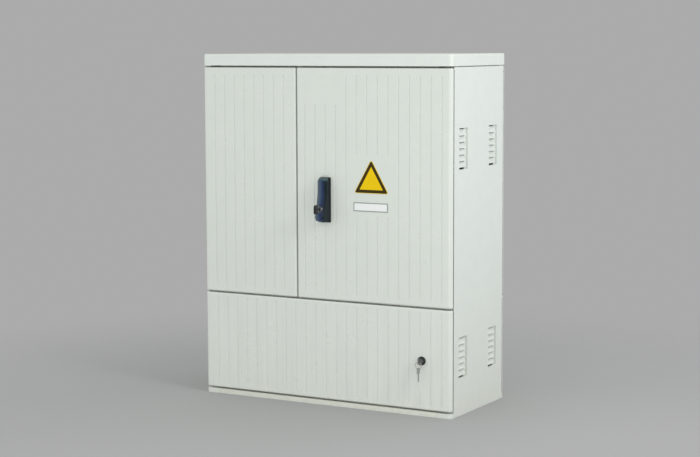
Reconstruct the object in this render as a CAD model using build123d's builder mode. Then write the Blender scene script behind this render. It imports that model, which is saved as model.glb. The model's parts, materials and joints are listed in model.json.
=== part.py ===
from build123d import *
from math import cos, radians, sin, sqrt
import os

# Roadside utility cabinet in moulded glass-fibre polyester, three doors, closed back.
# Millimetres. X to the right, Y to the back, Z up. The origin is the centre of the four
# anchor holes, on the ground under the middle of the cabinet.

# Overall size
width = 970.0
depth = 414.0
height = 1200.0

# Heights of what shows on the front, from the ground up
base_height = 16.0
lower_door_height = 339.0
roof_height = 40.0
seam = 6.0                # open seam above and below each door
roof_seam = 3.0           # seam between the side walls and the roof
left_door_width = 377.0
split_seam = 5.0          # seam between the two upper doors

# Moulded walls
wall = 5.0                # side walls, rails and roof flanges
skin = 4.0                # doors, rear panels and roof
edge_round = 12.0         # rounded upright edges; a door's hinge axis is the centre of its edge
soft_edge = 5.0           # rounded top and bottom edges
door_depth = 22.0
jamb_setback = 28.0       # from the door's face to the frame that the door closes against
jamb_reach = 45.0         # from the hinge axis to the inner edge of the side jamb
cove_clearance = 0.8      # round a door's turning edge
rib = 3.0
rib_depth = 16.0          # ribs behind a door, from its outside face
seal_rib_depth = 21.0
seal_clearance = 0.3      # between a closed door's seal and the frame

# Upright grooves in the doors' and panels' faces
groove_pitch = 40.0
groove_width = 6.0
groove_depth = 1.8
groove_taper = 38.0
upper_groove_top = 26.0   # from a groove's top end to the top edge of an upper door
upper_groove_low = 20.0
lower_groove_end = 13.0
left_first_groove = 48.0  # from the hinge edge
right_first_groove = 37.0

# Perimeter seals and the ribs that carry them
seal_width = 9.0
seal_edge = 15.5          # rib's centre line to a top, bottom or free edge
seal_hinge_side = 46.5    # rib's centre line to a rounded upright edge
seal_fit = 0.1

# Hinges
knuckle_radius = 5.5
hinge_pin_radius = 2.5
hinge_bore_clearance = 0.05
knuckle_height = 20.0
knuckle_gap = 0.3
leaf = 3.0
leaf_height = 46.0
door_leaf_length = 28.0
frame_leaf_end = 26.0
hinge_end_offset = 110.0  # from a door's top or bottom edge to the nearest hinge
hinge_screw_radius = 2.5

# Swing handle, latch cam and rods of the right upper door
handle_x = 10.5
handle_bottom = 632.0
handle_length = 153.0
handle_width = 40.0
handle_plate = 6.0
spindle_drop = 17.0       # spindle below the handle plate's top
spindle_radius = 6.0
lever_width = 36.0
lever_gap = 0.8           # between the plate and the lever
lever_pivot_reach = 13.0  # lever's pin, from the door's face outwards
lever_foot_reach = 31.0   # lever's bottom end, from the door's face outwards
lever_nose_reach = 53.0
lever_waist_reach = 41.0
lever_top_reach = 34.5
lever_foot_rise = 8.0     # foot's slope, up to the nose
lever_nose_rise = 14.0    # height of the nose's flat end
lever_waist_rise = 41.0   # waist above the nose
lever_grip_rise = 84.0    # end of the curved grip above the nose
lever_edge = 10.0         # slanted edges along the lever's front
lever_bevel = 6.5
lug_radius = 5.5
lock_drop = 88.0          # handle lock below the spindle
lock_rim_radius = 12.0
lock_rim_reach = 51.0
lock_rim_length = 15.0
handle_screw_radius = 3.0
handle_screw_low = 14.0   # handle's screws above its bottom end
handle_screw_high = 66.0
cam_radius = 24.0
cam_pin_circle = 18.0
cam_pin_radius = 3.0
cam_start = 11.0
cam_thickness = 4.0
rod_start = 16.5
rod_thickness = 3.0
rod_width = 18.0
slot_clearance = 0.7
keeper_height = 14.0
keeper_gap = 1.0          # between a rod's end and its keeper while the door is free

# Shoot bolts inside the left upper door
bolt_radius = 4.0
bolt_length = 110.0
bolt_edge = 34.0          # bolt's line to the door's free edge
bolt_reach = 18.0         # bolt's line behind the door's face
bolt_travel = 16.0

# Cam lock of the lower door
lock_x = 376.0
lock_z = 187.0
lock_ring_radius = 14.5
lock_ring = 6.0
lock_barrel_radius = 11.0
lock_barrel_end = 30.0
plug_radius = 8.0
plug_clearance = 0.05
lock_cam_length = 74.0
lock_cam_width = 16.0
lock_cam_thickness = 3.0

# Keys
key_thickness = 2.2
key_bow = 20.0
key_blade_width = 7.0
key_fit = 0.15
key_hole_radius = 2.0
key_hole_inset = 5.0      # from the bow's edge to the hole
spare_key_length = 47.0
handle_key_height = 31.0
handle_key_reach = 20.0
handle_key_stem = 7.0     # between the lock's rim and the bow
handle_key_blade = 22.0
handle_key_thickness = 6.0
key_ring_radius = 11.6
key_ring_wire = 0.9

# Louvres in the side walls
louvre_length = 66.0
louvre_height = 136.0
louvre_recess = 8.0
louvre_window = 52.0
louvre_count = 6
louvre_pitch = 21.0
louvre_blade = 3.0
louvre_rise = 11.5        # blade's inner edge above its middle
louvre_drop = 6.0         # blade's outer edge below its middle
louvre_setback = 1.0
drip_lip = 3.0            # flat underside of a blade's outer edge
louvre_front_setback = 88.0
louvre_rear_setback = 97.0
upper_louvre_z = 890.0
lower_louvre_z = 196.0

# Foot, anchor holes and frame rails
foot_length = 50.0
anchor_spacing_x = 900.0
anchor_spacing_y = 300.0
anchor_hole_radius = 7.0
foot_flange = 60.0
foot_flange_thickness = 6.0
header_height = 44.0
mid_rail_below = 27.0     # mid rail below the lower door's top edge
mid_rail_above = 41.0     # and above the upper doors' bottom edge
base_upstand = 50.0
rail_flange = 30.0
rail_end_gap = 0.5
lap = 32.0                # end of a rail behind the side jamb
lap_root = 10.0           # where the lap is joined to the rail's back
lap_gap = 1.0             # between a lap and the foot under it
post_width = 60.0
roof_drip = 8.0
roof_rib_setback = 10.0
cross_rib = 14.0

# Bolts of the frame and fittings
bolt_shank_radius = 4.0
bolt_shank = 12.0
bolt_head = 4.5
bolt_head_flats = 13.0
bolt_clearance = 0.4      # hole that a bolt passes
thread_clearance = 0.05   # hole that a bolt threads into
boss_radius = 9.0
lap_bolt_inset = 18.0     # from the hinge axis
roof_bolt_inset = 33.0    # from the outside of the wall
roof_bolt_y = 120.0
flange_bolt_y = 162.0     # bolts through the rails' flanges
panel_bolt_inset = 21.0   # rear panels' bolts, from the hinge axis
panel_bolt_end = 75.0     # and from the panel's top and bottom

# Fittings inside
shelf_thickness = 3.0
upright_x = 330.0
upright_width = 40.0
upright_depth = 25.0
sheet = 2.0
plate_thickness = 3.0
plate_width = 760.0
plate_height = 620.0
plate_bottom = 450.0
flush_screw_radius = 3.0  # countersunk at 90 degrees through the plate
flush_screw_length = 12.0
flush_screw_socket = 4.0
plate_screw_end = 30.0    # from the plate's top and bottom
cable_rail_z = 230.0
cable_rail_y = 40.0
cable_rail_width = 30.0
cable_rail_depth = 30.0
earth_bar_length = 700.0
earth_bar_width = 25.0
earth_bar_thickness = 5.0
earth_hole_pitch = 80.0
insulator_height = 30.0
insulator_radius = 12.0
insulator_x = 300.0
cable_boss = 12.0
cable_slot_length = 180.0
cable_slot_width = 50.0

# Worked out from the sizes above
half = width / 2
front = -depth / 2
back = depth / 2
axis_x = half - edge_round
axis_y = front + edge_round
left_free = -half + left_door_width
right_free = left_free + split_seam
lower_z0 = base_height + seam
lower_z1 = lower_z0 + lower_door_height
upper_z0 = lower_z1 + seam
upper_z1 = height - roof_height - seam
wall_top = height - roof_height - roof_seam
roof_bottom = height - roof_height
jamb_front = front + jamb_setback
jamb_back = jamb_front + wall
jamb_x = axis_x - jamb_reach
cove = edge_round + cove_clearance
seal_thickness = jamb_setback - rib_depth - seal_clearance
header_z0 = wall_top - header_height
mid_rail_z0 = lower_z1 - mid_rail_below
mid_rail_z1 = upper_z0 + mid_rail_above
post_x = (left_free + right_free) / 2
spindle_z = handle_bottom + handle_length - spindle_drop
handle_top = handle_bottom + handle_length
handle_screws_z = [handle_bottom + handle_screw_low, handle_bottom + handle_screw_high]
pivot_y = front - lever_pivot_reach
handle_lock_z = spindle_z - lock_drop
pin_offset_x = cam_pin_circle * cos(radians(45))
rod_offset = (cam_pin_circle + pin_offset_x) / 2
top_keeper_z0 = upper_z1 - seal_edge - seal_width / 2 - 3.0 - keeper_height
bottom_keeper_z1 = upper_z0 + seal_edge + seal_width / 2 + 3.0 + keeper_height
upper_hinges = [upper_z0 + hinge_end_offset, (upper_z0 + upper_z1) / 2, upper_z1 - hinge_end_offset]
lower_hinges = [lower_z0 + hinge_end_offset, lower_z1 - hinge_end_offset]

SUB = Mode.SUBTRACT


def front_plane(y):
    """Plane across the cabinet at depth y, seen from the front, its normal towards -Y."""
    return Plane.XZ.offset(-y)


def side_plane(x):
    """Plane along the cabinet at x, its own x along +Y and its own y along +Z."""
    return Plane.YZ.offset(x)


# Doors and rear panels

def tray_outline(z, x0, x1, radius0, radius1):
    """Outline of a moulded tray seen from above, rounded at both front edges."""
    rear = front + door_depth
    ends = []
    for x, radius, way in ((x0, radius0, 1), (x1, radius1, -1)):
        if radius > soft_edge:
            past = sqrt(radius ** 2 - (door_depth - radius) ** 2)
            ends.append((x + way * (radius - past), way, radius))
        else:
            ends.append((x, way, radius))
    with BuildSketch(Plane.XY.offset(z)) as outline:
        with BuildLine():
            for x, (x_rear, way, radius) in zip((x0, x1), ends):
                if radius > soft_edge:
                    ThreePointArc((x_rear, rear), (x, front + radius), (x + way * radius, front))
                else:
                    bulge = radius * (1 - cos(radians(45)))
                    Line((x_rear, rear), (x, front + radius))
                    ThreePointArc(
                        (x, front + radius), (x + way * bulge, front + bulge), (x + way * radius, front)
                    )
            Line((x0 + radius0, front), (x1 - radius1, front))
            Line((ends[0][0], rear), (ends[1][0], rear))
        make_face()
    return outline.sketch


def cavity_outline(z, x0, x1, radius0, radius1):
    """Outline of the tray's hollow, open to the rear, with a rounded edge's return cut short."""
    rear = front + door_depth + 1
    inner = front + skin
    starts = []
    with BuildSketch(Plane.XY.offset(z)) as outline:
        with BuildLine():
            for x, radius, way in ((x0, radius0, 1), (x1, radius1, -1)):
                if radius > soft_edge:
                    bulge = (radius - skin) * cos(radians(45))
                    centre_x = x + way * radius
                    edge = front + radius
                    Polyline((x - way, rear), (x - way, edge), (x + way * skin, edge))
                    ThreePointArc(
                        (x + way * skin, edge), (centre_x - way * bulge, edge - bulge), (centre_x, inner)
                    )
                    starts.append((x - way, centre_x))
                else:
                    Line((x + way * skin, rear), (x + way * skin, inner))
                    starts.append((x + way * skin, x + way * skin))
            Line((starts[0][1], inner), (starts[1][1], inner))
            Line((starts[0][0], rear), (starts[1][0], rear))
        make_face()
    return outline.sketch


def moulded_tray(x0, x1, z0, z1, radius0, radius1, rib_end, inset0, inset1):
    """A door or panel: skin, returns all round and the upright rib ring near its edges."""
    with BuildPart() as tray:
        extrude(tray_outline(z0, x0, x1, radius0, radius1), amount=z1 - z0)
        rear = front + door_depth
        for level in (0, -1):
            lip = tray.edges().group_by(Axis.Z)[level].filter_by(lambda e: e.center().Y < rear - 0.1)
            fillet(lip, radius=soft_edge)
        hollow = cavity_outline(z0 + skin, x0, x1, radius0, radius1)
        extrude(hollow, amount=z1 - z0 - 2 * skin, mode=SUB)
        with BuildSketch(front_plane(front + skin)):
            ring_between(x0 + inset0, x1 - inset1, z0 + seal_edge, z1 - seal_edge, rib)
        extrude(amount=skin - rib_end)
    return tray


def ring_between(x0, x1, z0, z1, thickness):
    """Rectangular ring whose centre line runs from x0 to x1 and z0 to z1."""
    with Locations(((x0 + x1) / 2, (z0 + z1) / 2)):
        RectangleRounded(x1 - x0 + thickness, z1 - z0 + thickness, 6 + thickness / 2)
        RectangleRounded(x1 - x0 - thickness, z1 - z0 - thickness, 6 - thickness / 2, mode=SUB)


def groove_runs(columns, z0, z1, pads):
    """Groove stretches (x, low, high), each column cut at the smooth pads."""
    runs = []
    for x in columns:
        low = z0
        for px0, px1, pz0, pz1 in sorted(pads, key=lambda pad: pad[2]):
            if px0 < x < px1:
                runs.append((x, low, pz0))
                low = pz1
        runs.append((x, low, z1))
    return [run for run in runs if run[2] - run[1] > groove_pitch]


def cut_grooves(runs):
    """Shallow grooves with sloping sides and ends in the front face."""
    with BuildSketch(front_plane(front)) as lines:
        for x, low, high in runs:
            with Locations((x, (low + high) / 2)):
                Rectangle(groove_width, high - low)
    extrude(lines.sketch, amount=-groove_depth, taper=groove_taper, mode=SUB)


def groove_columns(first, step, limit):
    """Columns from first on, a pitch apart, that stay inside the limit."""
    count = int(abs(limit - first) / groove_pitch) + 1
    return [first + step * groove_pitch * index for index in range(count)]


def hinge_pad(z, way):
    """Raised pad inside a door under a hinge leaf."""
    start = front + skin
    top = axis_y - knuckle_radius
    with Locations((way * (axis_x - door_leaf_length / 2 - 2), (start + top) / 2, z)):
        Box(door_leaf_length - 4, top - start, leaf_height)


sign_pad = (114.0, 260.0, 658.0, 864.0)
number_pad = (right_free, 68.0, 1030.0, upper_z1)
handle_pad = (handle_x - 34, handle_x + 34, handle_bottom - 10, handle_top + 22)
lock_pad = (lock_x - 30, lock_x + 14, lock_z - 105, lock_z + 79)

with BuildPart() as right_door:
    add(moulded_tray(right_free, half, upper_z0, upper_z1, soft_edge, edge_round,
                     seal_rib_depth, seal_edge, seal_hinge_side).part)
    cut_grooves(groove_runs(
        groove_columns(half - right_first_groove, -1, right_free + soft_edge + groove_width),
        upper_z0 + upper_groove_low, upper_z1 - upper_groove_top, [sign_pad, handle_pad, number_pad]))
    ring_x0 = right_free + seal_edge
    ring_x1 = half - seal_hinge_side
    with BuildSketch(front_plane(front + skin)):
        for share in (0.36, 0.7):
            with Locations((ring_x0 + share * (ring_x1 - ring_x0), (upper_z0 + upper_z1) / 2)):
                Rectangle(rib, upper_z1 - upper_z0 - 2 * seal_edge)
        for share in (0.2, 0.63, 0.83):
            with Locations(((ring_x0 + ring_x1) / 2, upper_z0 + share * (upper_z1 - upper_z0))):
                Rectangle(ring_x1 - ring_x0, rib)
    extrude(amount=skin - rib_depth)
    for hinge_z in upper_hinges:
        hinge_pad(hinge_z, 1)
    with BuildSketch(front_plane(front)):
        with Locations((handle_x, spindle_z)):
            Circle(spindle_radius + 0.5)
        for screw_z in handle_screws_z:
            with Locations((handle_x, screw_z)):
                Circle(handle_screw_radius + bolt_clearance)
    extrude(amount=-skin, mode=SUB)

with BuildPart() as left_door:
    add(moulded_tray(-half, left_free, upper_z0, upper_z1, edge_round, soft_edge,
                     seal_rib_depth, seal_hinge_side, seal_edge).part)
    cut_grooves(groove_runs(
        groove_columns(-half + left_first_groove, 1, left_free - left_first_groove),
        upper_z0 + upper_groove_low, upper_z1 - upper_groove_top, []))
    ring_x0 = -half + seal_hinge_side
    ring_x1 = left_free - seal_edge
    with BuildSketch(front_plane(front + skin)):
        with Locations(((ring_x0 + ring_x1) / 2, (upper_z0 + upper_z1) / 2)):
            Rectangle(rib, upper_z1 - upper_z0 - 2 * seal_edge)
        for share in (0.22, 0.5, 0.78):
            with Locations(((ring_x0 + ring_x1) / 2, upper_z0 + share * (upper_z1 - upper_z0))):
                Rectangle(ring_x1 - ring_x0, rib)
    extrude(amount=skin - rib_depth)
    for hinge_z in upper_hinges:
        hinge_pad(hinge_z, -1)

with BuildPart() as lower_door:
    add(moulded_tray(-half, half, lower_z0, lower_z1, edge_round, edge_round,
                     seal_rib_depth, seal_hinge_side, seal_hinge_side).part)
    cut_grooves(groove_runs(
        groove_columns(half - right_first_groove, -1, -half + right_first_groove),
        lower_z0 + lower_groove_end, lower_z1 - lower_groove_end, [lock_pad]))
    ring_x0 = -half + seal_hinge_side
    ring_x1 = half - seal_hinge_side
    with BuildSketch(front_plane(front + skin)):
        for share in (0.2, 0.4, 0.6, 0.8):
            with Locations((ring_x0 + share * (ring_x1 - ring_x0), (lower_z0 + lower_z1) / 2)):
                Rectangle(rib, lower_z1 - lower_z0 - 2 * seal_edge)
        with Locations(((ring_x0 + ring_x1) / 2, (lower_z0 + lower_z1) / 2 + 60)):
            Rectangle(ring_x1 - ring_x0, rib)
    extrude(amount=skin - rib_depth)
    for hinge_z in lower_hinges:
        hinge_pad(hinge_z, -1)
    with BuildSketch(front_plane(front)):
        with Locations((lock_x, lock_z)):
            Circle(lock_barrel_radius + 0.3)
    extrude(amount=-skin, mode=SUB)


def rear_panel(z0, z1, groove_end):
    """Fixed tray that closes the back, the doors' form with a deeper rib ring."""
    with BuildPart() as panel:
        add(moulded_tray(-half, half, z0, z1, edge_round, edge_round,
                         jamb_setback, seal_hinge_side, seal_hinge_side).part)
        cut_grooves(groove_runs(
            groove_columns(half - right_first_groove, -1, -half + right_first_groove),
            z0 + groove_end, z1 - groove_end, []))
        with BuildSketch(front_plane(front + skin)):
            for share in (0.25, 0.5, 0.75):
                with Locations((-half + share * width, (z0 + z1) / 2)):
                    Rectangle(rib, z1 - z0 - 2 * seal_edge)
        extrude(amount=skin - rib_depth)
        mirror(about=Plane.XZ, mode=Mode.REPLACE)
    return panel


# Side walls

def louvre_groups():
    """Centres (y, z) of the four louvre groups in a side wall."""
    return [(y, z) for y in (front + louvre_front_setback, back - louvre_rear_setback)
            for z in (upper_louvre_z, lower_louvre_z)]


def panel_bolt_heights(z0, z1, count):
    """Heights of a rear panel's bolts, evenly spread between its end distances."""
    low = z0 + panel_bolt_end
    return [low + index * (z1 - panel_bolt_end - low) / (count - 1) for index in range(count)]


panel_bolts_z = panel_bolt_heights(upper_z0, upper_z1, 3) + panel_bolt_heights(lower_z0, lower_z1, 2)

with BuildPart() as right_side_wall:
    # Wall with coved noses and the jambs turned inwards at front and back
    with BuildSketch(Plane.XY.offset(base_height)):
        with Locations((half - wall / 2, 0)):
            Rectangle(wall, -2 * axis_y)
        for way in (1, -1):
            with Locations(((jamb_x + half) / 2, way * (jamb_front + wall / 2))):
                Rectangle(half - jamb_x, wall)
        with Locations((axis_x, axis_y), (axis_x, -axis_y)):
            Circle(cove, mode=SUB)
    extrude(amount=wall_top - base_height)
    # Flange under the roof
    with Locations(((jamb_x + half) / 2, 0, wall_top - wall / 2)):
        Box(half - jamb_x, -2 * jamb_back, wall)
    # Foot with rounded corners that wrap round to the front and the back
    turn = edge_round * cos(radians(45))
    with BuildSketch():
        with Locations((half - wall / 2, 0)):
            Rectangle(wall, -2 * axis_y)
        for way in (1, -1):
            with BuildLine():
                Polyline((half, way * axis_y), (half, way * jamb_back),
                         (half - foot_length, way * jamb_back), (half - foot_length, way * front),
                         (axis_x, way * front))
                ThreePointArc((axis_x, way * front), (axis_x + turn, way * (axis_y - turn)),
                              (half, way * axis_y))
            make_face()
    extrude(amount=base_height)
    with BuildSketch():
        for way in (1, -1):
            with Locations((half - foot_length / 2, way * (front + jamb_back) / 2)):
                Rectangle(foot_length - 2 * wall, jamb_back - front - 2 * wall)
    extrude(amount=base_height - wall, mode=SUB)
    # Flange on the ground with the anchor holes
    with Locations((half - foot_flange / 2, 0, foot_flange_thickness / 2)):
        Box(foot_flange, -2 * jamb_back, foot_flange_thickness)
    with BuildSketch():
        with GridLocations(anchor_spacing_x, anchor_spacing_y, 2, 2):
            Circle(anchor_hole_radius)
    extrude(amount=foot_flange_thickness, mode=SUB)
    # Recessed louvre groups, their blades sloping down to the outside
    shell = louvre_recess + skin
    lip_x = half - louvre_setback
    for group_y, group_z in louvre_groups():
        window_y = group_y - (louvre_length - louvre_window) / 2
        with Locations((half - shell / 2, group_y, group_z)):
            Box(shell, louvre_length + 2 * skin, louvre_height + 2 * skin)
        with Locations((half - louvre_recess / 2, group_y, group_z)):
            Box(louvre_recess, louvre_length, louvre_height, mode=SUB)
        with Locations((half - shell / 2, window_y, group_z)):
            Box(shell, louvre_window, louvre_height, mode=SUB)
        with BuildSketch(front_plane(window_y - louvre_window / 2 - 1)) as blades:
            for index in range(louvre_count):
                blade_z = group_z + (index - (louvre_count - 1) / 2) * louvre_pitch
                with BuildLine():
                    Polyline(
                        (half - shell, blade_z + louvre_rise), (lip_x, blade_z - louvre_drop),
                        (lip_x, blade_z - louvre_drop - louvre_blade),
                        (lip_x - drip_lip, blade_z - louvre_drop - louvre_blade / 2),
                        (half - shell, blade_z + louvre_rise - 1.4 * louvre_blade), close=True)
                make_face()
        extrude(amount=-louvre_window - 3)
    # Bosses inside for the cable rail
    with BuildSketch(side_plane(half - wall)):
        with Locations((cable_rail_y, cable_rail_z)):
            Circle(insulator_radius)
    extrude(amount=-cable_boss)
    with BuildSketch(side_plane(half - wall - cable_boss)):
        with Locations((cable_rail_y, cable_rail_z)):
            Circle(bolt_shank_radius + thread_clearance)
    extrude(amount=bolt_shank, mode=SUB)
    # Holes for the roof's bolts, the rails' bolts and the rear panels' bolts
    with BuildSketch(Plane.XY.offset(wall_top - wall)):
        with Locations((half - roof_bolt_inset, roof_bolt_y), (half - roof_bolt_inset, -roof_bolt_y)):
            Circle(bolt_shank_radius + bolt_clearance)
    extrude(amount=wall, mode=SUB)
    for hole_z in ((header_z0 + wall_top - wall) / 2, (mid_rail_z0 + mid_rail_z1) / 2,
                   (base_height + lap_gap + base_upstand) / 2):
        with Locations((axis_x - lap_bolt_inset, 0, hole_z)):
            Cylinder(bolt_shank_radius + bolt_clearance, depth, rotation=(90, 0, 0), mode=SUB)
    for hole_z in panel_bolts_z:
        with Locations((axis_x - panel_bolt_inset, back / 2, hole_z)):
            Cylinder(bolt_shank_radius + bolt_clearance, back, rotation=(90, 0, 0), mode=SUB)

with BuildPart() as left_side_wall:
    add(right_side_wall.part)
    mirror(about=Plane.YZ, mode=Mode.REPLACE)

# Roof cap

with BuildPart() as roof:
    with BuildSketch(Plane.XY.offset(roof_bottom)):
        RectangleRounded(width, depth, edge_round)
    extrude(amount=roof_height)
    fillet(roof.edges().group_by(Axis.Z)[-1], radius=soft_edge)
    fillet(roof.edges().group_by(Axis.Z)[0], radius=1.5)
    with BuildSketch(Plane.XY.offset(roof_bottom)):
        RectangleRounded(width - 2 * skin, depth - 2 * skin, edge_round - skin)
    extrude(amount=roof_height - skin, mode=SUB)
    # Ribs and bosses that stand on the frame, and the cross ribs
    support = height - skin - wall_top
    for way in (1, -1):
        with Locations((way * (half - roof_rib_setback - wall / 2), 0, wall_top + support / 2)):
            Box(wall, -2 * jamb_back, support)
        with Locations((0, way * (jamb_front + wall / 2), wall_top + support / 2)):
            Box(2 * jamb_x, wall, support)
    with BuildSketch(Plane.XY.offset(wall_top)):
        with GridLocations(2 * (half - roof_bolt_inset), 2 * roof_bolt_y, 2, 2):
            Circle(boss_radius)
    extrude(amount=support)
    for rib_x in (-width / 4, 0, width / 4):
        with Locations((rib_x, 0, height - skin - cross_rib / 2)):
            Box(wall, depth - 2 * skin, cross_rib)
    # Drip lip along the back
    with BuildSketch(side_plane(-axis_x)):
        with BuildLine():
            Line((back - 1, roof_bottom), (back + roof_drip - 2, roof_bottom))
            ThreePointArc((back + roof_drip - 2, roof_bottom), (back + roof_drip, roof_bottom + 4),
                          (back + roof_drip - 2.5, roof_bottom + 9))
            Polyline((back + roof_drip - 2.5, roof_bottom + 9), (back - 1, roof_bottom + 14),
                     (back - 1, roof_bottom))
        make_face()
    extrude(amount=2 * axis_x)
    with BuildSketch(Plane.XY.offset(wall_top)):
        with GridLocations(2 * (half - roof_bolt_inset), 2 * roof_bolt_y, 2, 2):
            Circle(bolt_shank_radius + thread_clearance)
    extrude(amount=bolt_shank, mode=SUB)


# Frame rails and the post between the upper doors

def rail(z0, z1, flanges):
    """Rail flush with the side jambs: face plate, flanges to the inside, a lap at each end.

    flanges lists a level and the x of the bolt holes through that flange.
    """
    reach = jamb_x - rail_end_gap
    lap_z0 = max(z0, base_height + lap_gap)
    lap_z1 = min(z1, wall_top - wall)
    lap_length = lap + lap_root + rail_end_gap
    with BuildPart() as beam:
        with Locations((0, jamb_front + wall / 2, (z0 + z1) / 2)):
            Box(2 * reach, wall, z1 - z0)
        for level, holes in flanges:
            with Locations((0, jamb_front + rail_flange / 2, level)):
                Box(2 * reach, rail_flange, wall)
            for hole_x in holes:
                with Locations((hole_x, -flange_bolt_y, level)):
                    Cylinder(bolt_shank_radius + bolt_clearance, wall, mode=SUB)
        for way in (1, -1):
            lap_x = jamb_x + lap - lap_length / 2
            lap_z = (lap_z0 + lap_z1) / 2
            with Locations((way * lap_x, jamb_back + wall / 2, lap_z)):
                Box(lap_length, wall, lap_z1 - lap_z0)
            with Locations((way * (axis_x - lap_bolt_inset), jamb_back + wall / 2, lap_z)):
                Cylinder(bolt_shank_radius + thread_clearance, wall, rotation=(90, 0, 0), mode=SUB)
    return beam


def base_rail():
    """Bottom rail: the strip between the feet, a web to the back and the upstand."""
    reach = half - foot_length - rail_end_gap / 2
    with BuildPart() as beam:
        add(rail(base_height - wall, base_upstand, []).part)
        with Locations((0, (front + jamb_back) / 2, base_height - wall / 2)):
            Box(2 * reach, jamb_back - front, wall)
        with Locations((0, front + wall / 2, base_height / 2)):
            Box(2 * reach, wall, base_height)
    return beam


def behind(beam):
    """The same rail turned to the back of the cabinet."""
    with BuildPart() as turned:
        add(beam.part)
        mirror(about=Plane.XZ, mode=Mode.REPLACE)
    return turned


front_header = rail(header_z0, wall_top, [(header_z0 + wall / 2, [post_x])])
rear_header = behind(rail(header_z0, wall_top, [(header_z0 + wall / 2, [-upright_x, upright_x])]))
front_mid_rail = rail(mid_rail_z0, mid_rail_z1,
                      [(mid_rail_z1 - wall / 2, [post_x]), (mid_rail_z0 + wall / 2, [])])
rear_mid_rail = behind(rail(mid_rail_z0, mid_rail_z1,
                            [(mid_rail_z1 - wall / 2, [-upright_x, upright_x]),
                             (mid_rail_z0 + wall / 2, [-insulator_x, insulator_x])]))
front_base_rail = base_rail()
rear_base_rail = behind(base_rail())

with BuildPart() as centre_post:
    with BuildSketch(Plane.XY.offset(mid_rail_z1)):
        with Locations((post_x, jamb_front + rail_flange / 2)):
            Rectangle(post_width, rail_flange)
    extrude(amount=header_z0 - mid_rail_z1)
    with BuildSketch(Plane.XY.offset(mid_rail_z1 + wall)):
        with Locations((post_x, jamb_back + rail_flange / 2)):
            Rectangle(post_width - 2 * wall, rail_flange)
    extrude(amount=header_z0 - mid_rail_z1 - 2 * wall, mode=SUB)
    with BuildSketch(Plane.XY.offset(mid_rail_z1)):
        with Locations((post_x, -flange_bolt_y)):
            Circle(bolt_shank_radius + thread_clearance)
    extrude(amount=header_z0 - mid_rail_z1, mode=SUB)

with BuildPart() as partition_shelf:
    shelf_z0 = mid_rail_z1
    with Locations((0, 0, shelf_z0 + shelf_thickness / 2)):
        Box(2 * (jamb_x - 8), -2 * (jamb_back + 2), shelf_thickness)
    with BuildSketch(Plane.XY.offset(shelf_z0)):
        with Locations((post_x, jamb_front + rail_flange / 2)):
            Rectangle(post_width + 1, rail_flange + 1)
        with Locations((-upright_x, flange_bolt_y), (upright_x, flange_bolt_y)):
            Circle(bolt_shank_radius + bolt_clearance)
        with GridLocations(2 * cable_slot_length, 1, 2, 1):
            with Locations((0, back / 2)):
                SlotOverall(cable_slot_length, cable_slot_width)
    extrude(amount=shelf_thickness, mode=SUB)


# Rear panels' bosses and the bolts

def bossed_panel(panel, bolts_z):
    """Rear panel with the bosses that its bolts go into."""
    with BuildPart() as done:
        add(panel.part)
        for way in (1, -1):
            for boss_z in bolts_z:
                with BuildSketch(front_plane(back - skin)):
                    with Locations((way * (axis_x - panel_bolt_inset), boss_z)):
                        Circle(boss_radius)
                extrude(amount=jamb_setback - skin)
                with BuildSketch(front_plane(-jamb_front)):
                    with Locations((way * (axis_x - panel_bolt_inset), boss_z)):
                        Circle(bolt_shank_radius + thread_clearance)
                extrude(amount=-bolt_shank, mode=SUB)
    return done


upper_rear_panel = bossed_panel(rear_panel(upper_z0, upper_z1, upper_groove_low),
                                panel_bolt_heights(upper_z0, upper_z1, 3))
lower_rear_panel = bossed_panel(rear_panel(lower_z0, lower_z1, lower_groove_end),
                                panel_bolt_heights(lower_z0, lower_z1, 2))

with BuildPart() as bolt:
    with BuildSketch():
        RegularPolygon(bolt_head_flats / 2, 6, major_radius=False)
    extrude(amount=bolt_head)
    with BuildSketch():
        Circle(bolt_shank_radius)
    extrude(amount=-bolt_shank)

shank_down = (0, 0, 0)
shank_up = (180, 0, 0)
shank_back = (90, 0, 0)
shank_front = (-90, 0, 0)


def bolts_at(places, template=bolt):
    """Bolts with their heads seated at the places (x, y, z), each turned as given."""
    with BuildPart() as bolts:
        for place, turned in places:
            with Locations(Location(place, turned)):
                add(template.part)
    return bolts


def flush_screw(clearance):
    """Countersunk screw without its socket: the head's top at the origin, as deep as the mounting plate."""
    with BuildPart() as screw:
        with Locations((0, 0, -plate_thickness / 2)):
            Cone(flush_screw_radius + clearance, flush_screw_radius + plate_thickness + clearance,
                 plate_thickness)
        with Locations((0, 0, -flush_screw_length / 2)):
            Cylinder(flush_screw_radius + clearance, flush_screw_length)
    return screw


frame_places = []
for way in (1, -1):
    bolt_x = way * (axis_x - lap_bolt_inset)
    for bolt_z in ((header_z0 + wall_top - wall) / 2, (mid_rail_z0 + mid_rail_z1) / 2,
                   (base_height + lap_gap + base_upstand) / 2):
        frame_places.append(((bolt_x, jamb_front, bolt_z), shank_back))
        frame_places.append(((bolt_x, -jamb_front, bolt_z), shank_front))
    for bolt_z in panel_bolts_z:
        frame_places.append(((way * (axis_x - panel_bolt_inset), -jamb_back, bolt_z), shank_back))
    for bolt_y in (roof_bolt_y, -roof_bolt_y):
        frame_places.append(((way * (half - roof_bolt_inset), bolt_y, wall_top - wall), shank_up))
frame_places.append(((post_x, -flange_bolt_y, header_z0 + wall), shank_down))
frame_places.append(((post_x, -flange_bolt_y, mid_rail_z1 - wall), shank_up))
frame_bolts = bolts_at(frame_places)

# Fittings inside

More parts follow.
